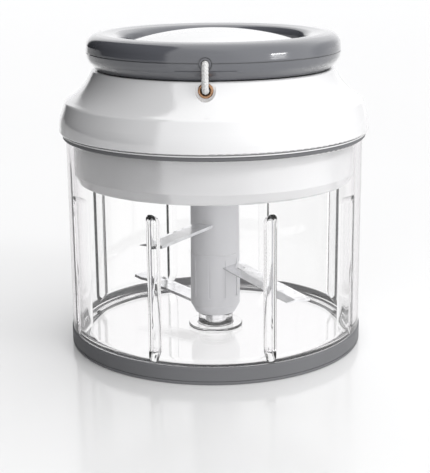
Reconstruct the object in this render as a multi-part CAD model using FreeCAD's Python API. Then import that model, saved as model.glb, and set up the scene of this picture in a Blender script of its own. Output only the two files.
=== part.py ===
import FreeCAD, Part
import math
import os

# Hand-operated food processor: a clear bowl on a rubber ring, a two-part lid with a ring handle nested
# round its dome, and a blade column that a pull cord, a spool and a hexagonal drive hub turn.
# Frame: millimetres, +Z up, origin on the table at the centre of the base, cord towards -Y.

V = FreeCAD.Vector
AXIS = V(0, 0, 1)
ORIGIN = V(0, 0, 0)

# ---------------------------------------------------------------- clearances and fits
RUN_FIT = 0.06         # radial clearance of a shaft that turns in its bore
FREE_GAP = 0.4         # radial gap between pieces that pass without touching
HEX_GAP = 0.3          # gap on each flat of the hexagonal drive
LID_GAP = 0.6          # radial gap between the cup of the lid and the bowl
RING_GAP = 1.8         # radial gap between the dome and the ring handle
SWEEP_GAP = 6.6        # gap between the blade tips and the ribs
TOP_GAP = 0.5          # gap between the column and the cup above it

# ---------------------------------------------------------------- bowl and base
BOWL_R = 61.1          # outer radius of the bowl
BOWL_WALL = 2.4
BOWL_RIM_Z = 87.5      # height of the rim
BOWL_UNDER_Z = 2.0     # underside, resting on the lip of the rubber ring
BOWL_FLOOR = 2.5       # floor thickness
BOWL_CORNER = 6.0      # inside radius between floor and wall
BASE_PROUD = 0.4       # how far the rubber ring stands out from the bowl
BASE_H = 7.2
BASE_WALL = 1.4
BASE_LIP = 5.0         # radial width of the ring's foot
BASE_LINE_Z = 1.55     # fine groove above the ring's lower edge
BASE_LINE = 0.3        # depth and height of that groove
BOSS_WALL = 4.4        # boss that carries the spindle pin
BOSS_H = 6.1
BOSS_COLLAR_R = 11.5
BOSS_COLLAR_H = 1.0
PIN_R = 3.0            # spindle pin
PIN_ROOT = 0.5         # how far the pin stands into the floor
RIB_COUNT = 8
RIB_FIRST_DEG = -65.5
RIB_THICK = 4.0
RIB_DEPTH = 4.6        # how far each rib stands in from the wall
RIB_LOW_Z = 5.0
RIB_UNDER = 1.9        # gap between the rib tops and the underside of the cup
RIB_TOP_RUN = 2.6      # height over which the top of a rib runs out
RIB_FOOT_RUN = 6.0     # the same at its foot

# ---------------------------------------------------------------- blade column
COLUMN_R = 10.6        # radius at the foot
COLUMN_TOP_R = 10.2
COLUMN_LIFT = 0.2      # gap between the boss and the column
COLUMN_CHAMFER_H = 3.8
COLUMN_FOOT_R = 8.6
COLUMN_SEAM_AT = 0.463 # height of the seam as a share of the column's length
SPIGOT_R = 7.0
SPIGOT_LEN = 5.0
PIN_SHORT = 8.3        # how far below the seam the pin ends
PIN_HEADROOM = 1.0
BUSH_WALL = 2.0
FLUTES = 10            # shallow vertical marks round the lower half
FLUTE_DEPTH = 0.25
FLUTE_WIDTH = 0.9
HEX_FLATS = 10.0       # across the flats of the drive hub
HEX_REACH = 10.3       # how far the drive hub stands down into the column

BLADE_CHORD = 10.5
BLADE_THICK = 1.2
BLADE_BEVEL = 3.6      # width of the ground edge
BLADE_EDGE = 0.2       # thickness left at the cutting edge
BLADE_ROOT_R = 7.5
UPPER_AT = 0.694       # heights of the upper two blades as shares of the column's length
UPPER_DEG = 242.0
MIDDLE_AT = 0.376
MIDDLE_DEG = 320.0
MIDDLE_EXTRA = 1.0     # extra length of the drooping blade
MIDDLE_DROOP = 12.5
MIDDLE_SKEW = 4.0      # how much shorter one corner of the middle blade is
LOWER_UP = 3.2         # height of the lowest blade over the column's foot
LOWER_RISE = 5.0       # how far the lowest blade tilts up outward
LOWER_DEG = 138.0

# ---------------------------------------------------------------- lid
SEAL_H = 1.7           # thickness of the grey seal between rim and lid
SEAL_PROUD = 1.3
FLANGE_H = 0.5         # edge of the cup that shows between seal and housing
FLANGE_IN = 0.9        # how far that edge stands back from the housing
PARTING = 0.45         # open line between that edge and the housing
LID_PROUD = 2.7        # how far the lid stands out from the bowl
LID_WALL = 2.4
LID_BELT_H = 4.9       # height of the lid's fullest part
SHOULDER_IN = 2.8
SHOULDER_H = 12.05
NECK_IN = 10.0
NECK_H = 16.55
LIP_IN = 14.4          # how far the annular seat's edge lies inside the lid's radius
SEAT_H = 24.85
DOME_IN = 14.0         # how far the dome lies inside the seat's edge
DOME_H = 15.4
DOME_SPHERE_R = 126.0
DOME_ROUND = 4.5
DOME_WALL = 2.2
INSERT_DEPTH = 19.0    # how far the cup drops into the bowl
INSERT_WALL = 2.1
CUP_BAND_H = 5.6       # sloping band round the cup's lower edge
CUP_BAND_IN = 1.7
CUP_DISH_H = 1.4       # shallow dish of the cup's underside
CUP_DISH_IN = 9.0
INSERT_COLLAR_H = 2.2  # collar of the cup inside the housing
TOWER_IN = 7.2         # how far the spring tower lies inside the dome's radius
TOWER_WALL = 2.0
POST_COUNT = 4
POST_FIRST_DEG = 45.0
POST_IN = 12.1         # how far the screw circle lies inside the cup's radius
POST_R = 4.2
POST_DROP = 3.5        # how far below the bowl's rim the posts meet
SCREW_R = 1.3
SCREW_HEAD_R = 2.7
SCREW_HEAD_H = 2.0

# ---------------------------------------------------------------- cord drive
CORD_R = 1.35
CORD_DOWN = 3.1        # how far the eyelet, the lead and the spool groove lie below the seat
CORD_OUT = 1.6         # how far the cord's drop stands out from the ring handle
UPPER_BEND = 1.9
LOWER_BEND = 2.0
LEAD_BEND = 6.0
EYELET_WALL = 0.65
EYELET_LIP = 0.5       # how far the rim stands out from the eyelet's tube
EYELET_RIM = 0.9
RECESS_WIDER = 0.95    # notch round the eyelet, beyond its rim
RECESS_OUT = 0.6       # flat floor of the notch, outside the seat's edge
NECK_WALL = 3.6        # thickness of the neck behind the eyelet
SPLIT_OUT = 0.5        # where the exposed cord becomes the lead, outside the notch floor
LEAD_IN = 2.5          # where the lead starts to bend, inside the notch floor
WIND_HALF_TURNS = 8
TURN_GAP = 0.2         # gap between neighbouring turns
SPOOL_CLEAR = 2.7      # how far the spool lies inside the tower's radius
WIND_IN = 3.5          # outermost turn of cord, inside the spool's edge
GROOVE_PLAY = 0.7
SPOOL_FLANGE = 1.6
AXLE_R = 3.0
AXLE_HOLD = 11.0       # height of the axle's top over the seat
AXLE_BOSS_WALL = 4.0
AXLE_BOSS_UP = 2.0     # underside of the axle boss over the seat
AXLE_START = 4.1       # foot of the axle over the floor of the cup
HUB_WALL = 2.0
HUB_NECK_EXTRA = 0.23
HUB_LIFT = 1.1         # thickness of the thrust washer
SPLINE_LEN = 10.0
CASE_FLOOR = 1.5
CASE_DOWN = 1.4        # gap between the spring case and the spool
CASE_H = 12.7
SPRING_UP = 2.5
SPRING_THICK = 0.4
SPRING_W = 8.5
SPRING_PITCH = 2.2

# ---------------------------------------------------------------- ring handle
RING_OVER = 2.5        # how far the ring stands out over the seat's edge
RING_UNDER = 0.3       # gap between ring and seat
RING_H = 14.1          # height of the ring's crest over the seat
RING_SEAM_H = 7.0
RING_FOOT_W = 2.8
RING_WALL = 2.0
SEAM_DEPTH = 0.8       # fine slot round the seam
SEAM_HEIGHT = 0.4
EXIT_DOWN = 0.2        # how far the cord's hole lies below the seam
COLLAR_WALL = 1.15
COLLAR_GAP = 0.25      # gap round the bush
COLLAR_LEN = 3.2
COLLAR_LIP = 0.6
PAD_DEG = 26.0
PAD_H = 0.3
RING_SCREWS = 4
RING_SCREW_IN = 6.4    # screw circle, outside the ring's inner radius
RING_SCREW_FIRST_DEG = 45.0
RING_BOSS_R = 3.2
RING_BOSS_H = 3.7
KNOT_WALL = 1.25

# ---------------------------------------------------------------- sizes that follow from the ones above
BOWL_IN_R = BOWL_R - BOWL_WALL
FLOOR_Z = BOWL_UNDER_Z + BOWL_FLOOR
BASE_R = BOWL_R + BASE_PROUD
SKIRT_R = BASE_R - BASE_WALL
BOSS_R = PIN_R + BOSS_WALL
BOSS_TOP_Z = FLOOR_Z + BOSS_H
PIN_ROOT_Z = FLOOR_Z - PIN_ROOT
INSERT_R = BOWL_IN_R - LID_GAP
INSERT_LOW_Z = BOWL_RIM_Z - INSERT_DEPTH
INSERT_FLOOR_Z = INSERT_LOW_Z + INSERT_WALL
RIB_TOP_Z = INSERT_LOW_Z - RIB_UNDER

COLUMN_FOOT_Z = BOSS_TOP_Z + COLUMN_LIFT
COLUMN_TOP_Z = INSERT_LOW_Z - TOP_GAP
COLUMN_LEN = COLUMN_TOP_Z - COLUMN_FOOT_Z
COLUMN_CHAMFER_Z = COLUMN_FOOT_Z + COLUMN_CHAMFER_H
COLUMN_SEAM_Z = COLUMN_FOOT_Z + COLUMN_SEAM_AT * COLUMN_LEN
PIN_TOP_Z = COLUMN_SEAM_Z - PIN_SHORT
BUSH_R = PIN_R + BUSH_WALL
HEX_TOP_Z = COLUMN_TOP_Z + 0.5
HUB_LOW_Z = COLUMN_TOP_Z - HEX_REACH
SOCKET_FLOOR_Z = HUB_LOW_Z - 1.0
TIP_R = BOWL_IN_R - RIB_DEPTH - SWEEP_GAP
UPPER_Z = COLUMN_FOOT_Z + UPPER_AT * COLUMN_LEN
MIDDLE_Z = COLUMN_FOOT_Z + MIDDLE_AT * COLUMN_LEN
LOWER_Z = COLUMN_FOOT_Z + LOWER_UP

LID_R = BOWL_R + LID_PROUD
LID_IN_R = LID_R - LID_WALL
SEAL_R = BOWL_R + SEAL_PROUD
SEAL_TOP_Z = BOWL_RIM_Z + SEAL_H
FLANGE_TOP_Z = SEAL_TOP_Z + FLANGE_H
LID_LOW_Z = FLANGE_TOP_Z + PARTING
BELT_Z = LID_LOW_Z + LID_BELT_H
SHOULDER_R = LID_R - SHOULDER_IN
SHOULDER_Z = LID_LOW_Z + SHOULDER_H
NECK_R = LID_R - NECK_IN
NECK_Z = LID_LOW_Z + NECK_H
LIP_R = LID_R - LIP_IN
SEAT_Z = LID_LOW_Z + SEAT_H
SEAT_UNDER_Z = SEAT_Z - LID_WALL + 0.2
DOME_R = LIP_R - DOME_IN
DOME_TOP_Z = SEAT_Z + DOME_H
TOWER_R = DOME_R - TOWER_IN
POST_CIRCLE_R = INSERT_R - POST_IN
POST_SPLIT_Z = BOWL_RIM_Z - POST_DROP

CORD_Z = SEAT_Z - CORD_DOWN
RING_IN_R = DOME_R + RING_GAP
RING_R = LIP_R + RING_OVER
RING_TOP_Z = SEAT_Z + RING_H
RING_LOW_Z = SEAT_Z + RING_UNDER
RING_SEAM_Z = SEAT_Z + RING_SEAM_H
RING_SCREW_R = RING_IN_R + RING_SCREW_IN
RING_BOSS_Z = RING_LOW_Z + RING_BOSS_H
EXIT_Z = RING_SEAM_Z - EXIT_DOWN
COLLAR_R = CORD_R + COLLAR_WALL
KNOT_R = CORD_R + KNOT_WALL
CORD_DROP_R = RING_R + CORD_OUT
EYELET_HOLE_R = CORD_R + FREE_GAP
EYELET_TUBE_R = EYELET_HOLE_R + EYELET_WALL
EYELET_R = EYELET_TUBE_R + EYELET_LIP
RECESS_R = EYELET_R + RECESS_WIDER
RECESS_Y = -(LIP_R + RECESS_OUT)
EYELET_BACK_Y = RECESS_Y + NECK_WALL
SPLIT_Y = RECESS_Y - SPLIT_OUT
LEAD_STRAIGHT_Y = RECESS_Y + LEAD_IN

SPOOL_R = TOWER_R - SPOOL_CLEAR
WIND_R = SPOOL_R - WIND_IN
WIND_PITCH = 2 * CORD_R + TURN_GAP
GROOVE_H = 2 * CORD_R + GROOVE_PLAY
SPOOL_LOW_Z = CORD_Z - GROOVE_H / 2 - SPOOL_FLANGE
SPOOL_HIGH_Z = CORD_Z + GROOVE_H / 2 + SPOOL_FLANGE
SPLINE_LOW_Z = SPOOL_LOW_Z - SPLINE_LEN
SPOOL_CORE_R = WIND_R - WIND_HALF_TURNS * WIND_PITCH / 2 - CORD_R - 0.1
AXLE_LOW_Z = INSERT_FLOOR_Z + AXLE_START
AXLE_TOP_Z = SEAT_Z + AXLE_HOLD
AXLE_BOSS_R = AXLE_R + AXLE_BOSS_WALL
AXLE_BOSS_Z = SEAT_Z + AXLE_BOSS_UP
HUB_NECK_R = HEX_FLATS / math.sqrt(3) + HUB_NECK_EXTRA
HUB_R = HUB_NECK_R + HUB_WALL
HUB_SHOULDER_Z = INSERT_FLOOR_Z + HUB_LIFT
CASE_TOP_Z = SPOOL_LOW_Z - CASE_DOWN
TOWER_TOP_Z = CASE_TOP_Z - CASE_H
SPRING_LOW_Z = TOWER_TOP_Z + SPRING_UP
SPRING_HIGH_Z = SPRING_LOW_Z + SPRING_W
SPRING_IN_R = HUB_R + 0.6


def export(node, shape):
    """Write one node and say whether its solids are sound."""
    solids = shape.Solids
    good = bool(solids) and shape.isValid()
    print(node, "solids", len(solids), "valid", good, "volume", round(shape.Volume, 1))
    shape.exportStep("parts/" + node + ".step")


def cylinder(radius, low, high, centre=(0.0, 0.0)):
    """Upright cylinder between two heights."""
    return Part.makeCylinder(radius, high - low, V(centre[0], centre[1], low), AXIS)


def tube(inner, outer, low, high, centre=(0.0, 0.0)):
    """Upright tube between two heights."""
    return cylinder(outer, low, high, centre).cut(cylinder(inner, low - 1, high + 1, centre))


def rounded_wire(corners):
    """Closed wire in the XZ plane through (x, z, radius) corners, each rounded by its own radius."""
    count = len(corners)
    cuts = []
    for i in range(count):
        here = V(corners[i][0], 0, corners[i][1])
        radius = corners[i][2]
        if radius == 0:
            cuts.append((here, None, here))
            continue
        last = corners[i - 1]
        following = corners[(i + 1) % count]
        back = (V(last[0], 0, last[1]) - here).normalize()
        ahead = (V(following[0], 0, following[1]) - here).normalize()
        half = back.getAngle(ahead) / 2
        middle = (back + ahead).normalize()
        reach = radius / math.tan(half)
        on_arc = here + middle * (radius / math.sin(half) - radius)
        cuts.append((here + back * reach, on_arc, here + ahead * reach))
    edges = []
    for i in range(count):
        start, on_arc, end = cuts[i]
        if on_arc is not None:
            edges.append(Part.Arc(start, on_arc, end).toShape())
        target = cuts[(i + 1) % count][0]
        if (target - end).Length > 1e-6:
            edges.append(Part.LineSegment(end, target).toShape())
    return Part.Wire(edges)


def revolved(corners, degrees=360.0):
    """Solid of revolution of a rounded section about the Z axis."""
    return Part.Face(rounded_wire(corners)).revolve(ORIGIN, AXIS, degrees)


def hexagon(flats, low, high):
    """Upright hexagonal bar between two heights, with two corners on the Y axis."""
    corner_r = flats / math.sqrt(3)
    points = []
    for k in range(7):
        angle = math.radians(30 + 60 * k)
        points.append(V(corner_r * math.cos(angle), corner_r * math.sin(angle), low))
    return Part.Face(Part.makePolygon(points)).extrude(V(0, 0, high - low))


def turned(shape, degrees):
    """Copy of a shape turned about the Z axis."""
    copy = shape.copy()
    copy.rotate(ORIGIN, AXIS, degrees)
    return copy


def polar(radius, degrees):
    """Point in the XY plane as a pair."""
    angle = math.radians(degrees)
    return (radius * math.cos(angle), radius * math.sin(angle))


def evenly(count, first):
    """Angles of evenly spaced copies round the axis."""
    return [first + 360.0 * k / count for k in range(count)]


def swept(edges, radius):
    """Round section swept along tangent edges."""
    path = Part.Wire(edges)
    first = path.OrderedEdges[0]
    start = first.valueAt(first.FirstParameter)
    if first.Orientation == "Reversed":
        start = first.valueAt(first.LastParameter)
    along = first.tangentAt(first.FirstParameter)
    disc = Part.Wire([Part.makeCircle(radius, start, along)])
    return path.makePipeShell([disc], True, True)


# ---------------------------------------------------------------- bowl body
def rib():
    """One inward rib of the bowl, standing along +X, with a rounded nose and run-out ends."""
    nose = BOWL_IN_R - RIB_DEPTH
    root = BOWL_R - BOWL_WALL / 2
    corners = [
        (root, RIB_LOW_Z, 0),
        (nose, RIB_LOW_Z + RIB_FOOT_RUN, 4.0),
        (nose, RIB_TOP_Z - RIB_TOP_RUN, 3.2),
        (root, RIB_TOP_Z, 0),
    ]
    plate = Part.Face(rounded_wire(corners)).extrude(V(0, RIB_THICK, 0))
    plate.translate(V(0, -RIB_THICK / 2, 0))
    nose_edges = []
    for edge in plate.Edges:
        across = abs(edge.BoundBox.YMax - edge.BoundBox.YMin) > 0.1
        if not across and edge.BoundBox.XMin < root - 0.1:
            nose_edges.append(edge)
    return plate.makeFillet(RIB_THICK / 2 - 0.3, nose_edges)


def make_bowl():
    """Clear bowl: straight wall, rounded floor corner, centre boss and eight ribs."""
    body = revolved([
        (0, BOWL_UNDER_Z, 0),
        (SKIRT_R, BOWL_UNDER_Z, 1.2),
        (SKIRT_R, BASE_H, 0),
        (BOWL_R, BASE_H, 0.3),
        (BOWL_R, BOWL_RIM_Z, 0.6),
        (BOWL_IN_R, BOWL_RIM_Z, 0.6),
        (BOWL_IN_R, FLOOR_Z, BOWL_CORNER),
        (BOSS_COLLAR_R, FLOOR_Z, 0),
        (BOSS_COLLAR_R, FLOOR_Z + BOSS_COLLAR_H, 0.4),
        (BOSS_R, FLOOR_Z + BOSS_COLLAR_H, 0.6),
        (BOSS_R, BOSS_TOP_Z, 0.8),
        (0, BOSS_TOP_Z, 0),
    ])
    one = rib()
    for angle in evenly(RIB_COUNT, RIB_FIRST_DEG):
        body = body.fuse(turned(one, angle))
    return body.cut(cylinder(PIN_R, PIN_ROOT_Z, BOSS_TOP_Z + 1))


def make_base_ring():
    """Rubber ring that wraps the foot of the bowl, with a fine groove above its lower edge."""
    inner = BASE_R - BASE_LIP
    groove_low = BASE_LINE_Z - BASE_LINE / 2
    groove = tube(BASE_R - BASE_LINE, BASE_R + 1, groove_low, groove_low + BASE_LINE)
    body = revolved([
        (inner, 0, 0.6),
        (BASE_R, 0, 1.0),
        (BASE_R, BASE_H, 0.8),
        (SKIRT_R, BASE_H, 0),
        (SKIRT_R, BOWL_UNDER_Z, 1.2),
        (inner, BOWL_UNDER_Z, 0.4),
    ])
    return body.cut(groove)


def make_spindle_pin():
    """Steel pin moulded into the boss, with a rounded top."""
    return revolved([
        (0, PIN_ROOT_Z, 0),
        (PIN_R, PIN_ROOT_Z, 0),
        (PIN_R, PIN_TOP_Z, 1.2),
        (0, PIN_TOP_Z, 0),
    ])


# ---------------------------------------------------------------- blade body
def blade(tip_r, skew):
    """Blade along +X: a flat plate ground to a thin edge on its clockwise side, with its tip cut."""
    half = BLADE_THICK / 2
    low = -BLADE_CHORD / 2
    high = BLADE_CHORD / 2
    section = [
        V(BLADE_ROOT_R, high, -half),
        V(BLADE_ROOT_R, high, half),
        V(BLADE_ROOT_R, low + BLADE_BEVEL, half),
        V(BLADE_ROOT_R, low, BLADE_EDGE - half),
        V(BLADE_ROOT_R, low, -half),
        V(BLADE_ROOT_R, high, -half),
    ]
    plate = Part.Face(Part.makePolygon(section)).extrude(V(tip_r - BLADE_ROOT_R, 0, 0))
    if skew > 0:
        corner = [
            V(tip_r - skew, low - 1, -5),
            V(tip_r + 1, low - 1, -5),
            V(tip_r + 1, high + 1, -5),
            V(tip_r, high + 1, -5),
            V(tip_r - skew, low - 1, -5),
        ]
        plate = plate.cut(Part.Face(Part.makePolygon(corner)).extrude(V(0, 0, 10)))
    return plate


def make_upper_blade():
    """Level blade near the top of the column."""
    shape = blade(TIP_R, 0)
    shape.translate(V(0, 0, UPPER_Z))
    return turned(shape, UPPER_DEG)


def make_middle_blade():
    """Blade that droops outward from the middle, with a skewed tip and a fixing hole near its root."""
    shape = blade(TIP_R + MIDDLE_EXTRA, MIDDLE_SKEW)
    hole_x = COLUMN_R + 4.0
    shape = shape.cut(Part.makeCylinder(0.8, 6, V(hole_x, 1.6, -3), AXIS))
    shape = shape.cut(Part.makeBox(5.0, 0.7, 6, V(hole_x - 1.0, -1.4, -3)))
    shape.rotate(V(COLUMN_R, 0, 0), V(0, 1, 0), MIDDLE_DROOP)
    shape.translate(V(0, 0, MIDDLE_Z))
    return turned(shape, MIDDLE_DEG)


def make_lower_blade():
    """Blade close above the floor of the bowl, rising a little outward."""
    shape = blade(TIP_R, 0)
    shape.rotate(V(COLUMN_R, 0, 0), V(0, 1, 0), -LOWER_RISE)
    shape.translate(V(0, 0, LOWER_Z))
    return turned(shape, LOWER_DEG)


def make_column_lower(blades):
    """Lower moulding of the column, bored for the bush and moulded round two blades."""
    bore_top = PIN_TOP_Z + PIN_HEADROOM
    socket_z = COLUMN_SEAM_Z - SPIGOT_LEN
    body = revolved([
        (BUSH_R, COLUMN_FOOT_Z, 0),
        (COLUMN_FOOT_R, COLUMN_FOOT_Z, 0.3),
        (COLUMN_R, COLUMN_CHAMFER_Z, 0.8),
        (COLUMN_R - 0.15, COLUMN_SEAM_Z, 0.3),
        (SPIGOT_R, COLUMN_SEAM_Z, 0),
        (SPIGOT_R, socket_z, 0),
        (0, socket_z, 0),
        (0, bore_top, 0),
        (BUSH_R, bore_top, 0),
    ])
    for angle in evenly(FLUTES, 7.0):
        groove = Part.makeBox(FLUTE_DEPTH + 1, FLUTE_WIDTH, COLUMN_SEAM_Z - 2 - COLUMN_CHAMFER_Z - 4)
        groove.translate(V(COLUMN_R - 0.15 - FLUTE_DEPTH, -FLUTE_WIDTH / 2, COLUMN_CHAMFER_Z + 4))
        body = body.cut(turned(groove, angle))
    for one in blades:
        body = body.cut(one)
    return body


def make_column_upper(upper):
    """Upper moulding of the column, with the hexagonal socket that the drive hub turns."""
    body = revolved([
        (0, COLUMN_SEAM_Z - SPIGOT_LEN, 0),
        (SPIGOT_R, COLUMN_SEAM_Z - SPIGOT_LEN, 0),
        (SPIGOT_R, COLUMN_SEAM_Z, 0),
        (COLUMN_R - 0.2, COLUMN_SEAM_Z, 0.3),
        (COLUMN_TOP_R, COLUMN_TOP_Z, 0.8),
        (0, COLUMN_TOP_Z, 0),
    ])
    body = body.cut(hexagon(HEX_FLATS + 2 * HEX_GAP, SOCKET_FLOOR_Z, COLUMN_TOP_Z + 1))
    return body.cut(upper)


def make_pin_bush():
    """Plain bush in which the spindle pin turns, its foot running on the boss."""
    return tube(PIN_R + RUN_FIT, BUSH_R, BOSS_TOP_Z, PIN_TOP_Z + PIN_HEADROOM)


# ---------------------------------------------------------------- lid body
def lid_posts(radius, low, high):
    """Upright bars on the screw circle of the lid, fused."""
    bars = None
    for angle in evenly(POST_COUNT, POST_FIRST_DEG):
        bar = cylinder(radius, low, high, polar(POST_CIRCLE_R, angle))
        bars = bar if bars is None else bars.fuse(bar)
    return bars


def notch_bar(radius, start, end):
    """Bar along -Y at the height of the eyelet."""
    return Part.makeCylinder(radius, start - end, V(0, start, CORD_Z), V(0, -1, 0))


def dome(radius, sphere_r, low, rounding):
    """Plug with a shallow spherical top and a rounded edge, its sphere sharing the lid's centre."""
    centre_z = DOME_TOP_Z - DOME_SPHERE_R
    plug = cylinder(radius, low, DOME_TOP_Z + 5).common(Part.makeSphere(sphere_r, V(0, 0, centre_z)))
    edges = [e for e in plug.Edges if e.BoundBox.ZMin > low + 1 and e.BoundBox.XMax > radius - 0.1]
    rims = [e for e in edges if e.BoundBox.ZMax - e.BoundBox.ZMin < 0.1]
    return plug.makeFillet(rounding, rims)


def make_lid_shell():
    """White housing: rim, shoulder, neck, the seat for the ring handle and the dome inside it."""
    outer = revolved([
        (0, LID_LOW_Z, 0),
        (LID_R, LID_LOW_Z, 0.6),
        (LID_R - 0.3, BELT_Z, 14.0),
        (SHOULDER_R, SHOULDER_Z, 1.7),
        (NECK_R, NECK_Z, 24.0),
        (LIP_R, SEAT_Z, 0.9),
        (0, SEAT_Z, 0),
    ])
    inner = revolved([
        (0, LID_LOW_Z - 1, 0),
        (LID_IN_R, LID_LOW_Z - 1, 0),
        (LID_IN_R - 0.1, BELT_Z - 0.4, 10.0),
        (SHOULDER_R - 2.2, SHOULDER_Z - 1.6, 1.0),
        (NECK_R - 1.6, NECK_Z - 1.9, 24.0),
        (LIP_R - 2.0, SEAT_UNDER_Z, 0.8),
        (0, SEAT_UNDER_Z, 0),
    ])
    outer = outer.fuse(dome(DOME_R, DOME_SPHERE_R, SEAT_Z - 1, DOME_ROUND))
    attic = dome(DOME_R - DOME_WALL, DOME_SPHERE_R - DOME_WALL, SEAT_UNDER_Z - 1, DOME_ROUND - 2)
    inner = inner.fuse(attic)
    inner = inner.cut(lid_posts(POST_R - 0.6, POST_SPLIT_Z, SEAT_Z))
    inner = inner.cut(cylinder(AXLE_BOSS_R, AXLE_BOSS_Z, DOME_TOP_Z))
    block_w = 2 * RECESS_R + 3.3
    block_h = CORD_DOWN + RECESS_R + 2.6
    block = Part.makeBox(block_w, 8.0, block_h, V(-block_w / 2, EYELET_BACK_Y - 8.0, SEAT_Z - block_h))
    inner = inner.cut(block)
    body = outer.cut(inner)
    recess = notch_bar(RECESS_R, RECESS_Y, RECESS_Y - 10.0)
    slot = Part.makeBox(2 * RECESS_R, 10.0, SEAT_Z + 2 - CORD_Z, V(-RECESS_R, RECESS_Y - 10.0, CORD_Z))
    body = body.cut(recess).cut(slot)
    body = body.cut(notch_bar(EYELET_TUBE_R, EYELET_BACK_Y + 1, RECESS_Y - 1))
    body = body.cut(swept(lead_edges(), CORD_R + FREE_GAP))
    body = body.cut(lid_posts(SCREW_R, POST_SPLIT_Z - 1, POST_SPLIT_Z + 13))
    return body.cut(cylinder(AXLE_R, AXLE_BOSS_Z - 1, AXLE_TOP_Z))


def make_lid_base():
    """White cup that drops into the bowl, with the flange, spring tower, screw posts and webs."""
    collar_z = LID_LOW_Z + INSERT_COLLAR_H
    flange_r = LID_R - FLANGE_IN
    in_r = INSERT_R - INSERT_WALL
    body = revolved([
        (0, INSERT_LOW_Z, 0),
        (INSERT_R - CUP_DISH_IN, INSERT_LOW_Z, 6.0),
        (INSERT_R - CUP_BAND_IN, INSERT_LOW_Z + CUP_DISH_H, 1.6),
        (INSERT_R, INSERT_LOW_Z + CUP_BAND_H, 0.8),
        (INSERT_R, SEAL_TOP_Z, 0),
        (flange_r, SEAL_TOP_Z, 0.15),
        (flange_r, FLANGE_TOP_Z, 0.15),
        (LID_IN_R - 0.5, FLANGE_TOP_Z, 0),
        (LID_IN_R - 0.5, collar_z, 0.4),
        (in_r, collar_z, 0.4),
        (in_r, INSERT_FLOOR_Z + CUP_BAND_H - INSERT_WALL / 2, 0.8),
        (in_r - CUP_BAND_IN, INSERT_FLOOR_Z + CUP_DISH_H, 1.0),
        (INSERT_R - CUP_DISH_IN - INSERT_WALL / 2, INSERT_FLOOR_Z, 4.0),
        (0, INSERT_FLOOR_Z, 0),
    ])
    body = body.fuse(tube(TOWER_R - TOWER_WALL, TOWER_R, INSERT_FLOOR_Z - 0.5, TOWER_TOP_Z))
    web = Part.makeBox(in_r + 0.5 - TOWER_R + 0.5, 1.8, 10.0, V(TOWER_R - 0.5, -0.9, INSERT_FLOOR_Z - 0.5))
    for angle in evenly(POST_COUNT, 0.0):
        body = body.fuse(turned(web, angle))
    body = body.fuse(lid_posts(POST_R, INSERT_FLOOR_Z - 0.5, POST_SPLIT_Z))
    body = body.cut(lid_posts(SCREW_HEAD_R + 0.3, INSERT_LOW_Z - 1, POST_SPLIT_Z - 2))
    body = body.cut(lid_posts(SCREW_R + 0.2, POST_SPLIT_Z - 3, POST_SPLIT_Z + 1))
    body = body.cut(cylinder(HUB_NECK_R + FREE_GAP, INSERT_LOW_Z - 1, INSERT_FLOOR_Z + 1))
    return body.cut(cylinder(HUB_NECK_R + FREE_GAP + 2, INSERT_LOW_Z - 1, INSERT_LOW_Z + 1.2))


def make_lid_seal():
    """Grey seal between the rim of the bowl and the lid."""
    return revolved([
        (INSERT_R, BOWL_RIM_Z, 0),
        (SEAL_R, BOWL_RIM_Z, 0.5),
        (SEAL_R, SEAL_TOP_Z, 0.3),
        (INSERT_R, SEAL_TOP_Z, 0),
    ])


def make_hub_seal():
    """Small seal round the drive hub, let into the underside of the cup."""
    inner = HUB_NECK_R + FREE_GAP
    return tube(inner, inner + 2, INSERT_LOW_Z, INSERT_LOW_Z + 1.2)


def make_thrust_washer():
    """Washer on the cup's floor that carries the drive hub."""
    return tube(HUB_NECK_R + FREE_GAP, HUB_R + 1.5, INSERT_FLOOR_Z, HUB_SHOULDER_Z)


def make_lid_screws():
    """Screws that hold the cup to the housing."""
    head_z = POST_SPLIT_Z - 2
    heads = lid_posts(SCREW_HEAD_R, head_z - SCREW_HEAD_H, head_z)
    return heads.fuse(lid_posts(SCREW_R, head_z - 0.5, POST_SPLIT_Z + 12))


def make_cord_eyelet():
    """Brass eyelet: a rolled rim and a tube through the wall of the neck, with a flared mouth."""
    rim_y = -RECESS_Y + EYELET_RIM
    shape = revolved([
        (EYELET_HOLE_R, -EYELET_BACK_Y - 0.8, 0.3),
        (EYELET_TUBE_R, -EYELET_BACK_Y - 0.8, 0.0),
        (EYELET_TUBE_R, -RECESS_Y, 0),
        (EYELET_R, -RECESS_Y, 0.2),
        (EYELET_R, rim_y, 0.45),
        (EYELET_HOLE_R, rim_y, 0.6),
    ])
    shape.rotate(ORIGIN, V(1, 0, 0), 90)
    shape.translate(V(0, 0, CORD_Z))
    return shape


def make_eyelet_clip():
    """U-shaped clip behind the neck wall that holds the eyelet's tube."""
    hole = notch_bar(EYELET_TUBE_R, EYELET_BACK_Y + 2, EYELET_BACK_Y - 1)
    disc = notch_bar(EYELET_TUBE_R + 1.4, EYELET_BACK_Y + 0.8, EYELET_BACK_Y).cut(hole)
    return disc.common(cylinder(2 * LID_R, LID_LOW_Z, SEAT_UNDER_Z))


def lead_angle():
    """Angle through which the lead turns, so that it meets the outermost turn on the spool."""
    reach = math.hypot(LEAD_BEND, LEAD_STRAIGHT_Y)
    swing = math.atan2(-LEAD_STRAIGHT_Y, LEAD_BEND)
    return swing - math.acos((WIND_R + LEAD_BEND) / reach)


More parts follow.
